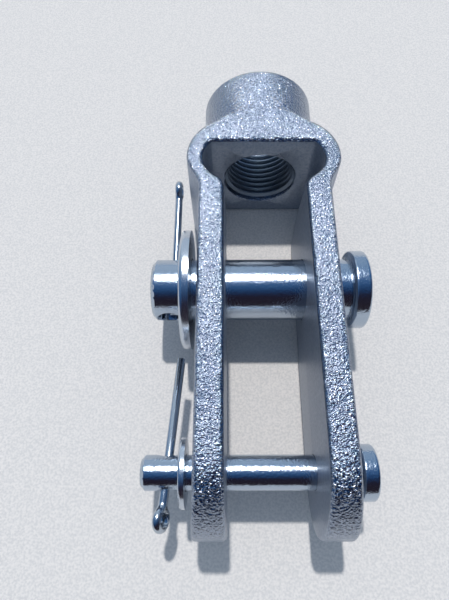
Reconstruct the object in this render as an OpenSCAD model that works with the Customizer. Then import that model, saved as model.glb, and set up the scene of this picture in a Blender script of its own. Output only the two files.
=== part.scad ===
// Forged clevis lying on the narrow edges of its fork: fork toward -Y, tapped boss toward +Y,
// pin heads toward +X. The origin is on the thread axis at the boss end face. Sizes are in mm.

/* [Forging] */
// Centre distance from the main pin to the link pin
pin_spacing = 35.2; // [33:0.1:40]
// Distance from the boss end face to the main pin centre
pin_reach = 47.6; // [46:0.1:50]
// Distance from the link pin centre to the tips of the arms
end_margin = 10.8; // [9:0.1:12.5]
// Fork width across the narrow edges of an arm
fork_w = 25.4; // [25.2:0.1:28]
// Clear gap between the two arms
arm_gap = 15.2; // [15:0.1:15.8]
// Thickness of each arm
arm_t = 6.2; // [5.8:0.1:6.5]
// Rounding of the forged edges
edge_r = 0.9; // [0.7:0.05:1.4]

/* [Crown] */
// Thickness of the crown wall that carries the thread
crown_wall = 6.3; // [5.5:0.1:7.5]
// Radius of the shoulders on the outside of the crown
shoulder_r = 9.6; // [9.3:0.1:9.9]
// Offset of each shoulder centre from the thread axis
shoulder_x = 6.1; // [5.8:0.1:6.3]
// Hollow radius where a shoulder runs into the outer face of an arm
waist_r = 8; // [6:0.25:10]
// Radius of the arch that carries the back of the crown up to the boss
arch_r = 14.2; // [13.8:0.1:14.4]
// Rise of the arch above the back of the shoulders
arch_rise = 3.3; // [2.5:0.1:3.6]
// Radius of the relief pockets inside the crown
pocket_r = 5.3; // [5:0.1:5.6]
// Offset of each pocket centre from the thread axis
pocket_x = 6.6; // [6.3:0.1:6.9]
// Distance from the inner crown wall back to the pocket centres
pocket_drop = 3.8; // [3.2:0.1:4.4]
// Rounding where a pocket narrows into the gap between the arms
throat_r = 3; // [2.4:0.1:4]

/* [Boss] */
// Outside diameter of the boss
boss_d = 25.1; // [24:0.1:25.1]
// Length of the boss beyond the crown
boss_l = 13.6; // [10:0.1:15]
// Rounding at the end of the boss
boss_edge = 0.9; // [0.4:0.1:1.5]
// Length of the hollow blend on the boss, above the crown
neck_l = 2; // [1:0.25:4]
// Major diameter of the tapped hole, drawn as a plain bore
thread_d = 15.88; // [14:0.01:16.5]
// Depth of the countersinks at both ends of the tapped hole
thread_csk = 0.35; // [0.2:0.05:0.6]

/* [Main pin] */
// Shank diameter of the main pin
main_d = 12.4; // [11.8:0.1:12.7]
// Length of the main pin under its head
main_l = 39.2; // [38.6:0.1:40]
// Free space between the main pin head and the arm
main_float = 3; // [2.9:0.1:3.2]
// Head diameter of the main pin
main_head_d = 15.8; // [14.8:0.1:18]
// Head thickness of the main pin
main_head_t = 3.3; // [2.6:0.1:4]
// Bevel on the free end of the main pin
main_bevel = 0.8; // [0.5:0.1:0.8]
// Diameter of the cotter hole in the main pin
main_hole_d = 3.8; // [3.6:0.1:3.9]
// Distance from the cotter hole centre to the free end of the main pin
main_hole_end = 3.3; // [3.3:0.1:3.6]

/* [Link pin] */
// Shank diameter of the link pin
link_d = 6; // [5.6:0.1:6.4]
// Length of the link pin under its head
link_l = 37.7; // [37.4:0.1:38.4]
// Free space between the link pin head and the arm
link_float = 1.3; // [1.2:0.1:1.5]
// Head diameter of the link pin
link_head_d = 9.6; // [8.6:0.1:11]
// Head thickness of the link pin
link_head_t = 2.9; // [2:0.1:3.4]
// Bevel on the free end of the link pin
link_bevel = 0.7; // [0.4:0.1:1]
// Diameter of the cotter hole in the link pin
link_hole_d = 2.5; // [2.4:0.05:2.8]
// Distance from the cotter hole centre to the free end of the link pin
link_hole_end = 4.4; // [4.2:0.1:4.6]

/* [Washers] */
// Outside diameter of the main washer
main_washer_d = 24.3; // [22:0.1:25]
// Thickness of the main washer
main_washer_t = 1.9; // [1.5:0.1:2]
// Clearance round the main pin inside its washer, on the radius
main_washer_clear = 0.3; // [0.15:0.05:0.5]
// Space between the arm and the main washer
main_washer_gap = 0.8; // [0.75:0.05:1]
// Outside diameter of the link washer
link_washer_d = 12; // [11:0.1:13]
// Thickness of the link washer
link_washer_t = 1.05; // [0.9:0.05:1.2]
// Clearance round the link pin inside its washer, on the radius
link_washer_clear = 0.2; // [0.1:0.05:0.4]
// Space between the arm and the link washer
link_washer_gap = 1; // [0.95:0.05:1.2]

/* [Cotters] */
// Diameter over both legs of a cotter
cotter_d = 1.6; // [1.5:0.05:1.65]
// Leg length of the main cotter, from the eye to its longer tip
main_leg_l = 27.2; // [25:0.1:27.5]
// Leg length of the link cotter, from the eye to its longer tip
link_leg_l = 25.4; // [25:0.1:28]
// Extra length of one leg beyond the other
leg_step = 0.8; // [0.3:0.1:1.5]
// Outside diameter of a cotter eye
eye_d = 4.48; // [4:0.04:4.8]
// Distance from the main pin centre forward to the tips of its cotter
main_tip_out = 5.5; // [5.4:0.1:7]
// Distance from the link pin centre back to the tips of its cotter
link_tip_out = 20.6; // [19.5:0.1:20.8]
// Lean of the link cotter along the fork, in degrees
link_lean = 5.1; // [4:0.1:5.5]
// Twist of the link cotter about its own legs, in degrees
link_twist = 22; // [0:1:40]

/* [Hidden] */
$fn = 96;

// Running clearance of the pins in the arms, on the radius
pin_clear = 0.08;
// Gap between the two legs of a cotter
leg_gap = 0.08;
// Free space left between the main cotter and the side of its hole
cotter_rest = 0.2;
// Distance that a cutter runs past the face it leaves
over = 2;
// A blend stops this far short of tangent, so that its faces cross cleanly
crossing = 0.04;
// Rounding of the pin heads and of the washer rims, as a share of their thickness
head_round = 0.2;
rim_round = 0.45;
// Mouth chamfer of the cotter holes
hole_mouth = 0.5;
// Depth of the boss root below the crown face, and how far it stays inside the shoulders
neck_root = 6;
neck_inset = 0.35;

half_w = fork_w / 2;
half_gap = arm_gap / 2;
arm_x = half_gap + arm_t;

main_y = -pin_reach;
link_y = main_y - pin_spacing;
tip_y = link_y - end_margin + half_w;
crown_y = -boss_l;
wall_y = crown_y - crown_wall;

// Shoulder circle and the hollow that runs into it and into the arm
shoulder_y = crown_y - shoulder_r;
waist_x = arm_x + waist_r - crossing;
waist_y = shoulder_y - sqrt(pow(shoulder_r + waist_r - crossing, 2) - pow(waist_x - shoulder_x, 2));

// Pocket circle and the throat rounding that runs into it and into the gap
pocket_y = wall_y - pocket_drop;
throat_x = half_gap + throat_r - crossing;
throat_y = pocket_y - sqrt(pow(pocket_r + throat_r - crossing, 2) - pow(throat_x - pocket_x, 2));

// The boss root meets the shoulders where they are this wide
boss_r = boss_d / 2;
root_y = crown_y - neck_root;
root_r = shoulder_x + sqrt(pow(shoulder_r, 2) - pow(shoulder_r - neck_root, 2));
neck_h = neck_root + neck_l;
neck_r = (pow(root_r - boss_r, 2) + pow(neck_h, 2)) / (2 * (root_r - boss_r));

main_head_x = arm_x + main_float;
main_end_x = main_head_x - main_l;
main_hole_x = main_end_x + main_hole_end;
link_head_x = arm_x + link_float;
link_end_x = link_head_x - link_l;
link_hole_x = link_end_x + link_hole_end;

cotter_r = cotter_d / 2;
main_cotter_x = main_hole_x + main_hole_d / 2 - cotter_r - cotter_rest;
// The eye ring and the leg bends touch on a 3-4-5 triangle with sides of 3, 4 and 5 units
eye_unit = (eye_d - leg_gap - cotter_d) / 4;
bend_z = 3 * eye_unit;
eye_y = 4 * eye_unit;
eye_bend = bend_z - leg_gap / 2;
eye_r = 5 * eye_unit - eye_bend;

// Material from deep out to rim, with its two corners at the rim rounded
module rim_profile(deep, rim, half) {
  side = sign(rim - deep);
  shy = rim - side * edge_r;
  translate([min(deep, shy), -half])
    square([abs(shy - deep), 2 * half]);
  translate([min(deep, rim), edge_r - half])
    square([abs(rim - deep), 2 * (half - edge_r)]);
  for (end = [-1, 1])
    translate([shy, end * (half - edge_r)])
      circle(r = edge_r);
}

// Void from deep out to rim, flared at both mouths so that the wall it leaves is rounded
module mouth_profile(deep, rim, half) {
  side = sign(rim - deep);
  flare = rim + side * edge_r;
  translate([min(deep, rim), -half - over])
    square([abs(rim - deep), 2 * (half + over)]);
  for (end = [0, 1])
    mirror([0, end])
      difference() {
        translate([min(deep, flare), half - edge_r])
          square([abs(flare - deep), edge_r + over]);
        translate([flare, half - edge_r])
          circle(r = edge_r);
      }
}

// Both arms and the gap between them, as sections across the fork
module fork_section() {
  for (side = [0, 1])
    mirror([side, 0])
      rim_profile(-1, arm_x, half_w);
}

module gap_section() {
  for (side = [0, 1])
    mirror([side, 0])
      mouth_profile(-1, half_gap, half_w);
}

module along_y(from, to) {
  translate([0, to, 0])
    rotate([90, 0, 0])
      linear_extrude(height = to - from)
        children();
}

module along_x(from, to) {
  translate([from, 0, 0])
    rotate([90, 0, 90])
      linear_extrude(height = to - from)
        children();
}

// Turned about Z, from one heading through an angle
module turned_z(x, y, from, angle) {
  translate([x, y, 0])
    rotate([0, 0, from])
      rotate_extrude(angle = angle)
        children();
}

// Turned about X: 0 is down, 90 is +Y, 180 is up and 270 is -Y
module turned_x(x, y, z, from, angle) {
  translate([x, y, z])
    rotate([0, 90, 0])
      rotate([0, 0, from])
        rotate_extrude(angle = angle)
          children();
}

module both_sides() {
  children();
  mirror([1, 0, 0])
    children();
}

// Web that fills the hollow waist between an arm and its shoulder
module waist_web() {
  difference() {
    translate([0, 0, -half_w])
      linear_extrude(height = fork_w)
        polygon([
          [waist_x, waist_y],
          [shoulder_x - 1, waist_y],
          [shoulder_x - 1, shoulder_y],
          [shoulder_x, shoulder_y]
        ]);
    turned_z(waist_x, waist_y, 0, 360)
      mouth_profile(0, waist_r, half_w);
  }
}

module fork_blank() {
  along_y(tip_y, shoulder_y)
    fork_section();
  turned_x(0, tip_y, 0, 180, 180)
    rim_profile(0, half_w, arm_x);
  along_x(-shoulder_x, shoulder_x) {
    rim_profile(shoulder_y - 1, crown_y, half_w);
    rim_profile(shoulder_y + 1, shoulder_y - shoulder_r, half_w);
  }
  both_sides() {
    turned_z(shoulder_x, shoulder_y, -90, 180)
      rim_profile(0, shoulder_r, half_w);
    waist_web();
  }
  turned_z(0, crown_y + arch_rise - arch_r, 0, 180)
    rim_profile(0, arch_r, half_w);
}

// Void that eases the corner between a pocket and the gap
module throat_easing() {
  difference() {
    translate([0, 0, -half_w - over])
      linear_extrude(height = fork_w + 2 * over)
        polygon([
          [throat_x, throat_y],
          [pocket_x - 1, throat_y],
          [pocket_x - 1, pocket_y],
          [pocket_x, pocket_y]
        ]);
    turned_z(throat_x, throat_y, 0, 360) {
      rim_profile(0, throat_r, half_w);
      translate([0, -half_w - 2 * over])
        square([throat_r - edge_r, fork_w + 4 * over]);
    }
  }
}

module fork_void() {
  along_y(tip_y, pocket_y)
    gap_section();
  turned_x(0, tip_y, 0, 180, 180)
    intersection() {
      rotate(-90)
        gap_section();
      translate([0, -arm_x])
        square([half_w + over, 2 * arm_x]);
    }
  intersection() {
    union() {
      both_sides()
        turned_z(pocket_x, pocket_y, 0, 360)
          mouth_profile(0, pocket_r, half_w);
      translate([-pocket_x, pocket_y - pocket_r / 2, -half_w - over])
        cube([2 * pocket_x, 2 * pocket_r, fork_w + 2 * over]);
    }
    along_x(-arm_x - shoulder_r, arm_x + shoulder_r)
      mouth_profile(pocket_y - 2 * pocket_r, wall_y, half_w);
  }
  both_sides()
    throat_easing();
}

// Boss with the hollow neck that carries it into the shoulders, no higher than the fork
module boss_blank() {
  intersection() {
    translate([0, root_y, 0])
      rotate([-90, 0, 0])
        rotate_extrude() {
          difference() {
            square([root_r - neck_inset, neck_h]);
            translate([boss_r + neck_r, neck_h])
              circle(r = neck_r, $fn = 256);
          }
          translate([0, neck_h])
            square([boss_r - boss_edge, boss_l - neck_l]);
          translate([0, neck_h])
            square([boss_r, boss_l - neck_l - boss_edge]);
          translate([boss_r - boss_edge, neck_root + boss_l - boss_edge])
            circle(r = boss_edge);
        }
    translate([-fork_w, root_y - over, -half_w])
      cube([2 * fork_w, boss_l + neck_root + 2 * over, fork_w]);
  }
}

module tapped_hole() {
  mouth = thread_d / 2 + thread_csk;
  translate([0, wall_y - over, 0])
    rotate([-90, 0, 0])
      cylinder(d = thread_d, h = over - wall_y + over);
  for (end = [0, 1])
    translate([0, end ? 0 : wall_y, 0])
      rotate([end ? 90 : -90, 0, 0])
        translate([0, 0, -over])
          cylinder(r1 = mouth + over, r2 = thread_d / 2, h = over + thread_csk);
}

module arm_bore(y, d) {
  translate([-arm_x - over, y, 0])
    rotate([0, 90, 0])
      cylinder(r = d / 2 + pin_clear, h = 2 * (arm_x + over));
}

module clevis_forging() {
  color("#9fb2c6")
    difference() {
      union() {
        fork_blank();
        boss_blank();
      }
      fork_void();
      tapped_hole();
      arm_bore(main_y, main_d);
      arm_bore(link_y, link_d);
    }
}

// Headed pin with its free end at x = 0 and its head toward +X
module headed_pin(d, l, bevel, head_d, head_t) {
  round_r = head_round * head_t;
  rotate([0, 90, 0])
    rotate_extrude() {
      polygon([[0, 0], [d / 2 - bevel, 0], [d / 2, bevel], [d / 2, l], [0, l]]);
      translate([0, l])
        square([head_d / 2 - round_r, head_t]);
      translate([0, l + round_r])
        square([head_d / 2, head_t - 2 * round_r]);
      for (end = [round_r, head_t - round_r])
        translate([head_d / 2 - round_r, l + end])
          circle(r = round_r, $fn = 48);
    }
}

// Cotter hole across a pin, along Y, with chamfered mouths
module cotter_hole(pin_d, hole_d) {
  rotate([90, 0, 0])
    cylinder(d = hole_d, h = pin_d + 2 * over, center = true);
  for (end = [0, 1])
    mirror([0, end, 0])
      translate([0, pin_d / 2 + over, 0])
        rotate([90, 0, 0])
          cylinder(r1 = hole_d / 2 + hole_mouth + over, r2 = hole_d / 2, h = over + hole_mouth);
}

module main_pin() {
  color("#a9bdd2")
    translate([main_end_x, main_y, 0])
      difference() {
        headed_pin(main_d, main_l, main_bevel, main_head_d, main_head_t);
        translate([main_hole_end, 0, 0])
          cotter_hole(main_d, main_hole_d);
      }
}

module link_pin() {
  color("#a9bdd2")
    translate([link_end_x, link_y, 0])
      difference() {
        headed_pin(link_d, link_l, link_bevel, link_head_d, link_head_t);
        translate([link_hole_end, 0, 0])
          cotter_hole(link_d, link_hole_d);
      }
}

// Stamped washer whose outer rim is rounded on the side away from the arm
module stamped_washer(pin_d, clear, d, t) {
  bore_r = pin_d / 2 + clear;
  round_r = rim_round * t;
  rotate([0, 90, 0])
    rotate_extrude() {
      translate([bore_r, 0])
        square([d / 2 - bore_r - round_r, t]);
      translate([bore_r, round_r])
        square([d / 2 - bore_r, t - round_r]);
      translate([d / 2 - round_r, round_r])
        circle(r = round_r, $fn = 48);
    }
}

module main_washer() {
  color("#8fa3ba")
    translate([-arm_x - main_washer_gap - main_washer_t, main_y, 0])
      stamped_washer(main_d, main_washer_clear, main_washer_d, main_washer_t);
}

module link_washer() {
  color("#8fa3ba")
    translate([-arm_x - link_washer_gap - link_washer_t, link_y, 0])
      stamped_washer(link_d, link_washer_clear, link_washer_d, link_washer_t);
}

// Half-round wire section with its flat on the Y axis
module half_wire() {
  intersection() {
    circle(r = cotter_r, $fn = 48);
    translate([0, -cotter_r])
      square([cotter_r, cotter_d]);
  }
}

// Everything on the leg side of the lines from the eye centre to the two bend centres
module leg_side() {
  along_x(-cotter_d, cotter_d)
    polygon([[-eye_y, 0], [0, bend_z], [eye_y, bend_z], [eye_y, -bend_z], [0, -bend_z]]);
}

// Cotter with its legs along +Y from the origin and its eye toward -Y, split across Z
module split_cotter(leg_l) {
  for (side = [0, 1])
    mirror([0, 0, side]) {
      along_y(0, leg_l - side * leg_step)
        translate([0, leg_gap / 2])
          rotate(90)
            half_wire();
      intersection() {
        turned_x(0, 0, bend_z, 0, -90)
          translate([eye_bend, 0])
            mirror([1, 0])
              half_wire();
        leg_side();
      }
    }
  difference() {
    turned_x(0, -eye_y, 0, 0, 360)
      translate([eye_r, 0])
        half_wire();
    leg_side();
  }
}

module main_cotter() {
  color("#c3ccd4")
    translate([main_cotter_x, main_y - main_tip_out + main_leg_l, 0])
      rotate([0, 0, 180])
        split_cotter(main_leg_l);
}

module link_cotter() {
  color("#c3ccd4")
    translate([link_hole_x, link_y, 0])
      rotate([0, -link_twist, -link_lean])
        translate([0, link_tip_out / cos(link_lean) - link_leg_l, 0])
          split_cotter(link_leg_l);
}

clevis_forging();
main_pin();
main_washer();
main_cotter();
link_pin();
link_washer();
link_cotter();
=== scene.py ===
import bpy
import math
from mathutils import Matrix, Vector


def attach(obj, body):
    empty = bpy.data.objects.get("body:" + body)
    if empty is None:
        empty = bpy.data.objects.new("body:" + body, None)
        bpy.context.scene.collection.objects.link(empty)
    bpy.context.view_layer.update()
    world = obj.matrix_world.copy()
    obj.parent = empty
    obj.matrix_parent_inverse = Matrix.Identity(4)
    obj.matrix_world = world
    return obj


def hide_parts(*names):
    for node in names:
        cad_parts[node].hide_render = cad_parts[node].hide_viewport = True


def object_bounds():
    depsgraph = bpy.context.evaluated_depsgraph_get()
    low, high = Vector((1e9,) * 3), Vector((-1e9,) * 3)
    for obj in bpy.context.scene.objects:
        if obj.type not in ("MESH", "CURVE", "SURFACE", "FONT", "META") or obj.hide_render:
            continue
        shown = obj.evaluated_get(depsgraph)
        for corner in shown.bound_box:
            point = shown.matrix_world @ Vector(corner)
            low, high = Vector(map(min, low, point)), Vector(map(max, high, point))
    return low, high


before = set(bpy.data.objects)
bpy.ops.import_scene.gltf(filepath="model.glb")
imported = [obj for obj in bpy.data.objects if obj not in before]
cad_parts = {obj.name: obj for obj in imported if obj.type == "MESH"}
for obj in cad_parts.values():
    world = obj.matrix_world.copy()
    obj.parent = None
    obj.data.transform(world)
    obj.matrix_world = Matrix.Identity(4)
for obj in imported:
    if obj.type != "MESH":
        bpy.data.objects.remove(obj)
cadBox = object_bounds()
scene = bpy.context.scene
mm = 0.001
print("frame: loaded", len(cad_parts), "nodes")


def linear(hexCode):
    # sRGB hex to linear RGBA
    parts = [int(hexCode[i:i + 2], 16) / 255 for i in (1, 3, 5)]
    return [p / 12.92 if p <= 0.04045 else ((p + 0.055) / 1.055) ** 2.4 for p in parts] + [1.0]


def addNode(tree, kind, settings=None, links=None):
    # one node with its settings, sockets named in links come from other nodes' outputs
    node = tree.nodes.new(kind)
    for name, value in (settings or {}).items():
        if name in node.bl_rna.properties:
            setattr(node, name, value)
        else:
            node.inputs[name].default_value = value
    for name, source in (links or {}).items():
        tree.links.new(source, node.inputs[name])
    return node


def newMaterial(name):
    material = bpy.data.materials.new(name)
    material.use_nodes = True
    material.node_tree.nodes.clear()
    return material, material.node_tree


def deselectAll():
    if bpy.context.mode != "OBJECT":
        bpy.ops.object.mode_set(mode="OBJECT")
    bpy.ops.object.select_all(action="DESELECT")


def makeActive(piece):
    deselectAll()
    piece.select_set(True)
    bpy.context.view_layer.objects.active = piece


# camera: hand-held shot from above the open end of the fork
cameraSet = {
    "place": (-7.6, -86.9, 87.21),  # mm in the part's frame
    "tilt": 23.03,  # degrees up from straight down
    "roll": 0.32,
    "turn": -0.06,
    "focalPixels": 465.4,
    "widthPixels": 449,
    "sensor": 36,  # mm
    "clip": (0.005, 10),  # m
}


def makeCamera(settings):
    data = bpy.data.cameras.new("photoCamera")
    data.sensor_fit = "HORIZONTAL"
    data.sensor_width = settings["sensor"]
    data.lens = settings["sensor"] * settings["focalPixels"] / settings["widthPixels"]
    data.clip_start, data.clip_end = settings["clip"]
    camera = bpy.data.objects.new("photoCamera", data)
    camera.location = [v * mm for v in settings["place"]]
    camera.rotation_euler = [math.radians(settings[k]) for k in ("tilt", "roll", "turn")]
    scene.collection.objects.link(camera)
    scene.camera = camera


makeCamera(cameraSet)
print("camera: set")

# floor: smooth white foam board with a very fine tooth
floorSet = {
    "height": cadBox[0][2],  # the lowest point of the part rests on it
    "middle": (0, -50 * mm),  # x and y, half way along the part
    "reach": 5.0,  # m, so that no edge of it comes into view
    "colour": "#E6E7E9",
    "speck": "#D3D6DA",
    "speckShare": (0.35, 0.65),  # noise from all speck to all board
    "toothSize": 0.45 * mm,
    "toothHeight": 0.02 * mm,
    "toothStrength": 0.35,
    "roughness": 0.85,
}


def makeFloor(settings):
    bpy.ops.mesh.primitive_plane_add(size=settings["reach"])
    floor = bpy.context.object
    floor.name = "floorBoard"
    floor.location = (*settings["middle"], settings["height"])
    bpy.ops.object.transform_apply(location=True, rotation=False, scale=False)
    material, tree = newMaterial("whiteFoamBoard")
    # white foam board: a dull sheet that keeps the shadows soft grey, with faint specks
    place = addNode(tree, "ShaderNodeTexCoord")
    tooth = addNode(tree, "ShaderNodeTexNoise", {"Scale": 1 / settings["toothSize"], "Detail": 2.0},
                    {"Vector": place.outputs["Object"]})
    low, high = settings["speckShare"]
    spots = addNode(tree, "ShaderNodeMapRange", {"From Min": low, "From Max": high},
                    {"Value": tooth.outputs["Fac"]})
    colour = addNode(tree, "ShaderNodeMix", {"data_type": "RGBA"},
                     {"Factor": spots.outputs["Result"]})
    colour.inputs[6].default_value = linear(settings["speck"])
    colour.inputs[7].default_value = linear(settings["colour"])
    bump = addNode(tree, "ShaderNodeBump", {"Strength": settings["toothStrength"],
                                            "Distance": settings["toothHeight"]},
                   {"Height": tooth.outputs["Fac"]})
    board = addNode(tree, "ShaderNodeBsdfPrincipled", {"Roughness": settings["roughness"]},
                    {"Base Color": colour.outputs[2], "Normal": bump.outputs["Normal"]})
    addNode(tree, "ShaderNodeOutputMaterial", links={"Surface": board.outputs["BSDF"]})
    floor.data.materials.append(material)


deselectAll()
makeFloor(floorSet)

# light: one warm key from high behind the boss, with a bright haze round it, in a room that is
# pale behind the boss, blue overhead and dark in front of the tips, as the pins' bands show
lightSet = {
    "keyLean": 0.418,  # how far a shadow runs toward -Y for each mm of height
    "keySlip": 0.04,  # and toward +X
    "keyAngle": 2.5,  # degrees across, which softens the shadows' edges
    "keyStrength": 2.3,
    "keyColour": "#FFF7EE",
    "paleSide": (-0.3, 0.9, 0.32),  # heading of the palest part of the room
    "room": (  # share of the way from the dark side to the pale side, and the colour there
        (0.0, "#33292F"), (0.28, "#2B2636"), (0.4, "#274369"), (0.56, "#3F6896"),
        (0.7, "#5A82AE"), (0.85, "#82A3C6"), (1.0, "#CCDAE8")),
    "glowReach": (6, 15),  # degrees round the key where the haze is full, and where it ends
    "glowStrength": 5.5,
    "backdrop": "#DCE1E7",
    "softColour": "#98A3B0",  # what the room gives to dull surfaces
}


def makeLights(settings):
    key = bpy.data.lights.new("keyLight", "SUN")
    key.energy = settings["keyStrength"]
    key.angle = math.radians(settings["keyAngle"])
    key.color = linear(settings["keyColour"])[:3]
    keyObject = bpy.data.objects.new("keyLight", key)
    keyObject.rotation_euler = (-math.atan(settings["keyLean"]), -math.atan(settings["keySlip"]), 0)
    scene.collection.objects.link(keyObject)
    world = bpy.data.worlds.new("blueRoom")
    scene.world = world
    world.use_nodes = True
    tree = world.node_tree
    tree.nodes.clear()
    heading = addNode(tree, "ShaderNodeTexCoord")
    length = math.sqrt(sum(v * v for v in settings["paleSide"]))
    toward = addNode(tree, "ShaderNodeVectorMath", {"operation": "DOT_PRODUCT"},
                     {0: heading.outputs["Generated"]})
    toward.inputs[1].default_value = [v / length for v in settings["paleSide"]]
    share = addNode(tree, "ShaderNodeMapRange", {"From Min": -1.0, "From Max": 1.0},
                    {"Value": toward.outputs["Value"]})
    room = addNode(tree, "ShaderNodeValToRGB", links={"Fac": share.outputs["Result"]})
    stops = room.color_ramp.elements
    while len(stops) < len(settings["room"]):
        stops.new(0.5)
    for stop, (place, colour) in zip(stops, settings["room"]):
        stop.position = place
        stop.color = linear(colour)
    # mirroring surfaces see the room itself, dull ones are lit by its even average
    ray = addNode(tree, "ShaderNodeLightPath")
    colour = addNode(tree, "ShaderNodeMix", {"data_type": "RGBA"},
                     {"Factor": ray.outputs["Is Glossy Ray"]})
    colour.inputs[6].default_value = linear(settings["softColour"])
    # the haze round the key makes the forged grain glitter
    lean, slip = settings["keyLean"], settings["keySlip"]
    away = math.sqrt(lean ** 2 + slip ** 2 + 1)
    near = addNode(tree, "ShaderNodeVectorMath", {"operation": "DOT_PRODUCT"},
                   {0: heading.outputs["Generated"]})
    near.inputs[1].default_value = (-slip / away, lean / away, 1 / away)
    full, end = (math.cos(math.radians(v)) for v in settings["glowReach"])
    glow = addNode(tree, "ShaderNodeMapRange",
                   {"interpolation_type": "SMOOTHSTEP", "From Min": end, "From Max": full,
                    "To Max": settings["glowStrength"]}, {"Value": near.outputs["Value"]})
    hazy = addNode(tree, "ShaderNodeVectorMath", {"operation": "ADD"},
                   {0: room.outputs["Color"], 1: glow.outputs["Result"]})
    tree.links.new(hazy.outputs["Vector"], colour.inputs[7])
    seen = addNode(tree, "ShaderNodeMix", {"data_type": "RGBA"},
                   {"Factor": ray.outputs["Is Camera Ray"]})
    tree.links.new(colour.outputs[2], seen.inputs[6])
    seen.inputs[7].default_value = linear(settings["backdrop"])
    sky = addNode(tree, "ShaderNodeBackground", links={"Color": seen.outputs[2]})
    addNode(tree, "ShaderNodeOutputWorld", links={"Surface": sky.outputs["Background"]})


makeLights(lightSet)
scene.view_settings.view_transform = "Standard"
print("floor and lights: set")

# forged steel under bright blue-white zinc: the blasted scale leaves a coarse grain that
# glitters on top, while the upright walls, drawn along the die, are smoother and half dull
forgingSet = {
    "colour": "#B2BAC5",  # on the crests of the grain, lighter than its hollows
    "shade": "#74839A",  # and painted shade in its hollows
    "grainSize": 0.48 * mm,  # two to three pixels of the photograph
    "grainHeight": 0.42 * mm,
    "waveSize": 4.0 * mm,  # slow unevenness under the grain
    "waveHeight": 0.05 * mm,
    "upward": (0.1, 0.5),  # vertical part of the surface normal, from wall to top
    "grainShare": (0.14, 1.0),  # how much of the grain shows on a wall and on top
    "roughness": (0.4, 0.14),
    "metallic": (0.55, 1.0),  # the passivating film leaves the walls half dull
}


def makeForgedZinc(settings):
    material, tree = newMaterial("forgedBrightZinc")
    place = addNode(tree, "ShaderNodeTexCoord")
    grain = addNode(tree, "ShaderNodeTexNoise",
                    {"Scale": 1 / settings["grainSize"], "Detail": 1.5, "Roughness": 0.65},
                    {"Vector": place.outputs["Object"]})
    wave = addNode(tree, "ShaderNodeTexNoise", {"Scale": 1 / settings["waveSize"], "Detail": 1.0},
                   {"Vector": place.outputs["Object"]})
    facing = addNode(tree, "ShaderNodeSeparateXYZ", links={"Vector": place.outputs["Normal"]})
    level = addNode(tree, "ShaderNodeMath", {"operation": "ABSOLUTE"}, {0: facing.outputs["Z"]})
    start, end = settings["upward"]
    share, rough, film = (
        addNode(tree, "ShaderNodeMapRange", {"From Min": start, "From Max": end,
                                             "To Min": settings[name][0],
                                             "To Max": settings[name][1]},
                {"Value": level.outputs[0]})
        for name in ("grainShare", "roughness", "metallic"))
    waveBump = addNode(tree, "ShaderNodeBump",
                       {"Strength": 1.0, "Distance": settings["waveHeight"]},
                       {"Height": wave.outputs["Fac"]})
    grainBump = addNode(tree, "ShaderNodeBump", {"Distance": settings["grainHeight"]},
                        {"Height": grain.outputs["Fac"], "Strength": share.outputs["Result"],
                         "Normal": waveBump.outputs["Normal"]})
    # the grain's colour is painted shade: darker in its hollows and lighter on its crests,
    # following the bump
    colour = addNode(tree, "ShaderNodeMix", {"data_type": "RGBA"},
                     {"Factor": grain.outputs["Fac"]})
    colour.inputs[6].default_value = linear(settings["shade"])
    colour.inputs[7].default_value = linear(settings["colour"])
    metal = addNode(tree, "ShaderNodeBsdfPrincipled", links={
        "Base Color": colour.outputs[2], "Roughness": rough.outputs["Result"],
        "Metallic": film.outputs["Result"], "Normal": grainBump.outputs["Normal"]})
    addNode(tree, "ShaderNodeOutputMaterial", links={"Surface": metal.outputs["BSDF"]})
    return material


# turned steel under bright zinc: a fine orange peel that ripples the highlight along the pin
turnedSet = {
    "colour": "#AFBCCB",
    "peelSize": 0.4 * mm,  # two pixels of the photograph, as a finer one wouldn't show
    "peelHeight": 0.045 * mm,
    "roughness": (0.1, 0.2),  # in the hollows of the peel and on its crests
}


def makeTurnedZinc(settings):
    material, tree = newMaterial("turnedBrightZinc")
    place = addNode(tree, "ShaderNodeTexCoord")
    peel = addNode(tree, "ShaderNodeTexNoise", {"Scale": 1 / settings["peelSize"], "Detail": 2.0},
                   {"Vector": place.outputs["Object"]})
    bump = addNode(tree, "ShaderNodeBump", {"Strength": 1.0, "Distance": settings["peelHeight"]},
                   {"Height": peel.outputs["Fac"]})
    low, high = settings["roughness"]
    rough = addNode(tree, "ShaderNodeMapRange", {"To Min": low, "To Max": high},
                    {"Value": peel.outputs["Fac"]})
    metal = addNode(tree, "ShaderNodeBsdfPrincipled",
                    {"Base Color": linear(settings["colour"]), "Metallic": 1.0},
                    {"Roughness": rough.outputs["Result"], "Normal": bump.outputs["Normal"]})
    addNode(tree, "ShaderNodeOutputMaterial", links={"Surface": metal.outputs["BSDF"]})
    return material


# stamped washers: tumbled before plating, so a little duller than the pins
washerSet = {
    "colour": "#C4CCD6",
    "roughness": 0.22,
    "markSize": 0.5 * mm,  # coarser than real pits, so that they show
    "markHeight": 0.012 * mm,
    "markDetail": 2.0,
    "markStretch": (1.0, 1.0, 1.0),  # round pits
}

# drawn half-round wire: faint lines along the legs
wireSet = {
    "colour": "#B4BDC7",
    "roughness": 0.2,
    "markSize": 0.25 * mm,  # coarser than real lines, so that they show
    "markHeight": 0.004 * mm,
    "markDetail": 1.0,
    "markStretch": (1.0, 0.05, 1.0),  # drawn out along Y
}


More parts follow.
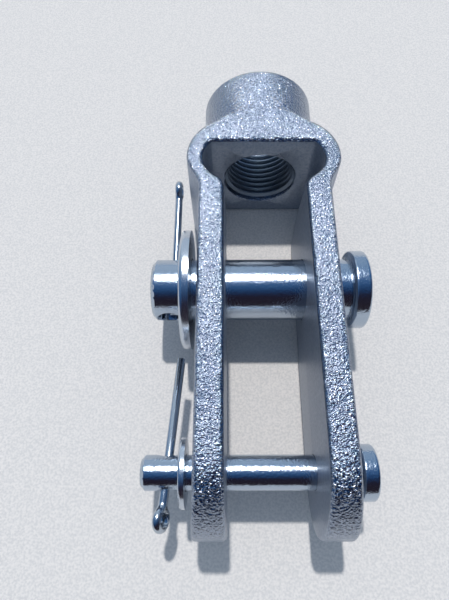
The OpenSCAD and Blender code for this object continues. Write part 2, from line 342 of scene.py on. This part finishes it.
def makeMarkedZinc(name, settings):
    material, tree = newMaterial(name)
    place = addNode(tree, "ShaderNodeTexCoord")
    along = addNode(tree, "ShaderNodeMapping", {"Scale": settings["markStretch"]},
                    {"Vector": place.outputs["Object"]})
    marks = addNode(tree, "ShaderNodeTexNoise",
                    {"Scale": 1 / settings["markSize"], "Detail": settings["markDetail"]},
                    {"Vector": along.outputs["Vector"]})
    bump = addNode(tree, "ShaderNodeBump", {"Strength": 1.0, "Distance": settings["markHeight"]},
                   {"Height": marks.outputs["Fac"]})
    metal = addNode(tree, "ShaderNodeBsdfPrincipled",
                    {"Base Color": linear(settings["colour"]), "Metallic": 1.0,
                     "Roughness": settings["roughness"]}, {"Normal": bump.outputs["Normal"]})
    addNode(tree, "ShaderNodeOutputMaterial", links={"Surface": metal.outputs["BSDF"]})
    return material


# tapped thread: torn by the tap, so it stays dull in the bore; its darker colour is painted shade
# of the bore
tappedBoreShadeSet = {"colour": "#8A97A6", "roughness": 0.42}


def makeTappedBoreShade(settings):
    material, tree = newMaterial("tappedZincPaintedShade")
    # the darker base colour is painted shade of the bore, the high roughness is the torn thread
    metal = addNode(tree, "ShaderNodeBsdfPrincipled",
                    {"Base Color": linear(settings["colour"]), "Metallic": 1.0,
                     "Roughness": settings["roughness"]})
    addNode(tree, "ShaderNodeOutputMaterial", links={"Surface": metal.outputs["BSDF"]})
    return material


forgedZinc = makeForgedZinc(forgingSet)
tappedZincBoreShade = makeTappedBoreShade(tappedBoreShadeSet)
turnedZinc = makeTurnedZinc(turnedSet)
stampedZinc = makeMarkedZinc("stampedBrightZinc", washerSet)
drawnZinc = makeMarkedZinc("drawnWireZinc", wireSet)
print("materials: made")

# dressed copies of the CAD nodes, merged so that their round faces shade smoothly:
# node, then the piece's name, its material, the body that it rides and its slot
dressSet = {
    "clevis_forging": ("forkForging", forgedZinc, "fork", "forged_zinc"),
    "main_pin": ("largePin", turnedZinc, "main_pin", "turned_zinc"),
    "link_pin": ("smallPin", turnedZinc, "link_pin", "turned_zinc"),
    "main_washer": ("largeWasher", stampedZinc, "main_washer", "washer_zinc"),
    "link_washer": ("smallWasher", stampedZinc, "link_washer", "washer_zinc"),
    "main_cotter": ("largePinCotter", drawnZinc, "main_cotter", "cotter_wire"),
    "link_cotter": ("smallPinCotter", drawnZinc, "link_cotter", "cotter_wire"),
}
mergeGap = 0.002 * mm
creaseAngle = math.radians(28)  # sharper turns stay hard edges


def dressNode(node, name, material, body):
    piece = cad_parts[node].copy()
    piece.data = piece.data.copy()
    piece.name = name
    piece.parent = None
    # the copy is a piece of its own and drops the node's marks
    for key in list(piece.keys()):
        del piece[key]
    scene.collection.objects.link(piece)
    makeActive(piece)
    bpy.ops.object.mode_set(mode="EDIT")
    bpy.ops.mesh.select_all(action="SELECT")
    bpy.ops.mesh.remove_doubles(threshold=mergeGap)
    bpy.ops.object.mode_set(mode="OBJECT")
    bpy.ops.object.shade_smooth_by_angle(angle=creaseAngle)
    piece.data.materials.clear()
    piece.data.materials.append(material)
    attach(piece, body)
    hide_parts(node)
    print("piece:", name, len(piece.data.polygons), "faces")
    return piece


dressed = {}
for node, (name, material, body, slotName) in dressSet.items():
    dressed[name] = dressNode(node, name, material, body)

# forging draft, in mm: the die leaves the walls thinner toward their upper and lower edges
draftSet = {
    "half": 12.7,  # from the parting plane to the edges
    "inner": (7.6, 11.9),  # inner face of the wall: along an arm, and beside the crown pocket
    "outer": (13.8, 15.7),  # outer face at the same places
    "waist": (-31.5, -23.45),  # y where the arm ends and where the pocket is widest
    "heart": 6.35,  # x of the middle of the pocket and of the shoulder round it
    "crown": (-15.0, -12.0),  # y where the draft fades out toward the boss
    "innerGive": 0.5,  # how far each face gives way at the edges
    "outerGive": (0.85, 0.05),  # along an arm, and round the shoulder, which has hardly any
}


def blend(low, high, value):
    # 0 below low, 1 above high and a smooth step between them
    share = min(max((value - low) / (high - low), 0.0), 1.0)
    return share * share * (3 - 2 * share)


def between(pair, share):
    return pair[0] + (pair[1] - pair[0]) * share


def draftShift(settings, x, y, z):
    # how far one point moves in x and y, in mm: inner faces move out and outer faces in
    heart, (waistStart, widest) = settings["heart"], settings["waist"]
    if y < widest:
        share = blend(waistStart, widest, y)
        near, far, outerGive = (between(settings[name], share)
                                for name in ("inner", "outer", "outerGive"))
        depth, heading, weight = abs(x), 0.0, 1.0
    else:
        near, far = settings["inner"][1] - heart, settings["outer"][1] - heart
        outerGive = settings["outerGive"][1]
        right, up = max(abs(x) - heart, 0.0), y - widest
        depth, heading = math.hypot(right, up), math.atan2(up, right)
        weight = math.cos(heading) ** 2 * (1 - blend(*settings["crown"], y))
    share = min(max((depth - near) / (far - near), 0.0), 1.0)
    give = weight * abs(z) / settings["half"]
    shift = give * (settings["innerGive"] * (1 - share) - outerGive * share)
    return math.copysign(1, x) * shift * math.cos(heading), shift * math.sin(heading)


def draftFork(piece, settings):
    makeActive(piece)
    bpy.ops.object.mode_set(mode="EDIT")
    bpy.ops.mesh.select_all(action="SELECT")
    bpy.ops.mesh.bisect(plane_co=(0, 0, 0), plane_no=(0, 0, 1))
    bpy.ops.object.mode_set(mode="OBJECT")
    place = piece.matrix_world
    back = place.inverted()
    for vertex in piece.data.vertices:
        spot = place @ vertex.co
        x, y = draftShift(settings, *(v / mm for v in spot))
        spot.x += x * mm
        spot.y += y * mm
        vertex.co = back @ spot
    bpy.ops.object.shade_smooth_by_angle(angle=creaseAngle)
    print("draft: given to", piece.name)


draftFork(dressed["forkForging"], draftSet)

# round walls take the true normals of their cylinders, so that they mirror without stripes:
# axis, a point on it and the radii, in mm
mainAxis = (0, (0, -47.6, 0))
linkAxis = (0, (0, -82.8, 0))
boreRadius = 7.94
roundSet = {
    "largePin": (*mainAxis, (6.2, 7.9)),
    "smallPin": (*linkAxis, (3.0, 4.8)),
    "largeWasher": (*mainAxis, (6.5, 12.15)),
    "smallWasher": (*linkAxis, (3.2, 6.0)),
    "forkForging": (1, (0, 0, 0), (boreRadius, 12.55)),
}
roundSlack = 0.03 * mm  # how far a corner may lie off its cylinder
roundLean = 0.03  # how far a wall's normal may lean along the axis


def trueRound(piece, axis, centre, radii):
    mesh = piece.data
    place = piece.matrix_world
    turn = place.to_3x3()
    middle = Vector(centre) * mm
    normals = [corner.vector.copy() for corner in mesh.corner_normals]
    count = 0
    for face in mesh.polygons:
        facing = turn @ face.normal
        if abs(facing[axis]) > roundLean:
            continue
        outward = []
        for index in face.vertices:
            out = place @ mesh.vertices[index].co - middle
            out[axis] = 0
            outward.append(out)
        if not any(all(abs(out.length - radius * mm) < roundSlack for out in outward)
                   for radius in radii):
            continue
        for loop, out in zip(face.loop_indices, outward):
            side = 1 if out.dot(facing) > 0 else -1
            normals[loop] = turn.inverted() @ (side * out.normalized())
        count += 1
    mesh.normals_split_custom_set(normals)
    print("round walls:", piece.name, count, "faces")


for name, (axis, centre, radii) in roundSet.items():
    trueRound(dressed[name], axis, centre, radii)

# thread of the boss, in mm: 18 turns to the inch, cut away by the countersinks at both mouths
threadSet = {
    "pitch": 1.411,
    "flank": 30,  # degrees
    "wallRadius": boreRadius,
    "crestRadius": 7.25,
    "crestWidth": 0.3,
    "sink": 0.04,  # how deep the ridge foot stands in the wall
    "inner": -19.9,  # y of the crown wall
    "outer": 0.0,  # y of the boss end face
    "margin": 0.2,  # from each of them to the ridge
    "mouth": 0.35,  # radius that the countersink adds
    "coneOut": 0.6,  # reach of the cutting cone outside the mouth
    "coneIn": 1.4,  # and inside it
    "steps": 72,
    "capSides": 8,  # an open end of the ridge has fewer sides than this
}


def threadMouth(settings, y, direction):
    # cone of 45 degrees that clears the ridges at one mouth
    start, depth = settings["coneOut"], settings["coneIn"]
    wide = settings["wallRadius"] + settings["mouth"] + start
    bpy.ops.mesh.primitive_cone_add(
        vertices=settings["steps"], radius1=wide * mm, radius2=(wide - start - depth) * mm,
        depth=(start + depth) * mm, location=(0, (y + direction * (depth - start) / 2) * mm, 0),
        rotation=(-direction * math.pi / 2, 0, 0))
    return bpy.context.object


def makeThread(settings):
    deselectAll()
    wall, crest = settings["wallRadius"] + settings["sink"], settings["crestRadius"]
    slope = math.tan(math.radians(settings["flank"]))
    foot = settings["crestWidth"] + 2 * (wall - crest) * slope
    low = settings["inner"] + settings["margin"]
    high = settings["outer"] - settings["margin"]
    turns = math.ceil((high - low) / settings["pitch"]) - 1
    middle = (wall + crest) / 2
    # section of the ridge: a plane whose crest side is drawn in
    bpy.ops.mesh.primitive_plane_add(size=1, location=(0, 0, 0), rotation=(0, math.pi / 2, 0))
    thread = bpy.context.object
    thread.name = "bossThread"
    thread.scale = ((wall - crest) * mm, foot * mm, 1)
    thread.location = (0, (low + foot / 2) * mm, middle * mm)
    bpy.ops.object.transform_apply(location=True, rotation=True, scale=True)
    bpy.ops.object.mode_set(mode="EDIT")
    bpy.ops.mesh.select_all(action="DESELECT")
    bpy.ops.object.mode_set(mode="OBJECT")
    for vertex in thread.data.vertices:
        vertex.select = vertex.co.z < middle * mm
    bpy.ops.object.mode_set(mode="EDIT")
    bpy.ops.transform.resize(value=(1, settings["crestWidth"] / foot, 1))
    bpy.ops.object.mode_set(mode="OBJECT")
    # the section runs round and along the bore
    bpy.ops.object.modifier_add(type="SCREW")
    screw = thread.modifiers[-1]
    screw.axis = "Y"
    screw.angle = math.tau
    screw.screw_offset = settings["pitch"] * mm
    screw.iterations = turns
    screw.steps = screw.render_steps = settings["steps"]
    bpy.ops.object.modifier_apply(modifier=screw.name)
    bpy.ops.object.mode_set(mode="EDIT")
    bpy.ops.mesh.select_all(action="SELECT")
    bpy.ops.mesh.remove_doubles(threshold=mergeGap)
    bpy.ops.mesh.select_all(action="DESELECT")
    bpy.ops.mesh.select_non_manifold()
    bpy.ops.mesh.fill_holes(sides=settings["capSides"])
    bpy.ops.mesh.select_all(action="SELECT")
    bpy.ops.mesh.normals_make_consistent(inside=False)
    bpy.ops.object.mode_set(mode="OBJECT")
    for y, direction in ((settings["inner"], 1), (settings["outer"], -1)):
        cone = threadMouth(settings, y, direction)
        makeActive(thread)
        bpy.ops.object.modifier_add(type="BOOLEAN")
        cut = thread.modifiers[-1]
        cut.operation = "DIFFERENCE"
        cut.solver = "EXACT"
        cut.object = cone
        bpy.ops.object.modifier_apply(modifier=cut.name)
        bpy.data.objects.remove(cone)
    bpy.ops.object.shade_smooth_by_angle(angle=creaseAngle)
    thread.data.materials.clear()
    thread.data.materials.append(tappedZincBoreShade)
    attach(thread, "fork")
    print("piece: bossThread", turns, "turns", len(thread.data.polygons), "faces")


makeThread(threadSet)
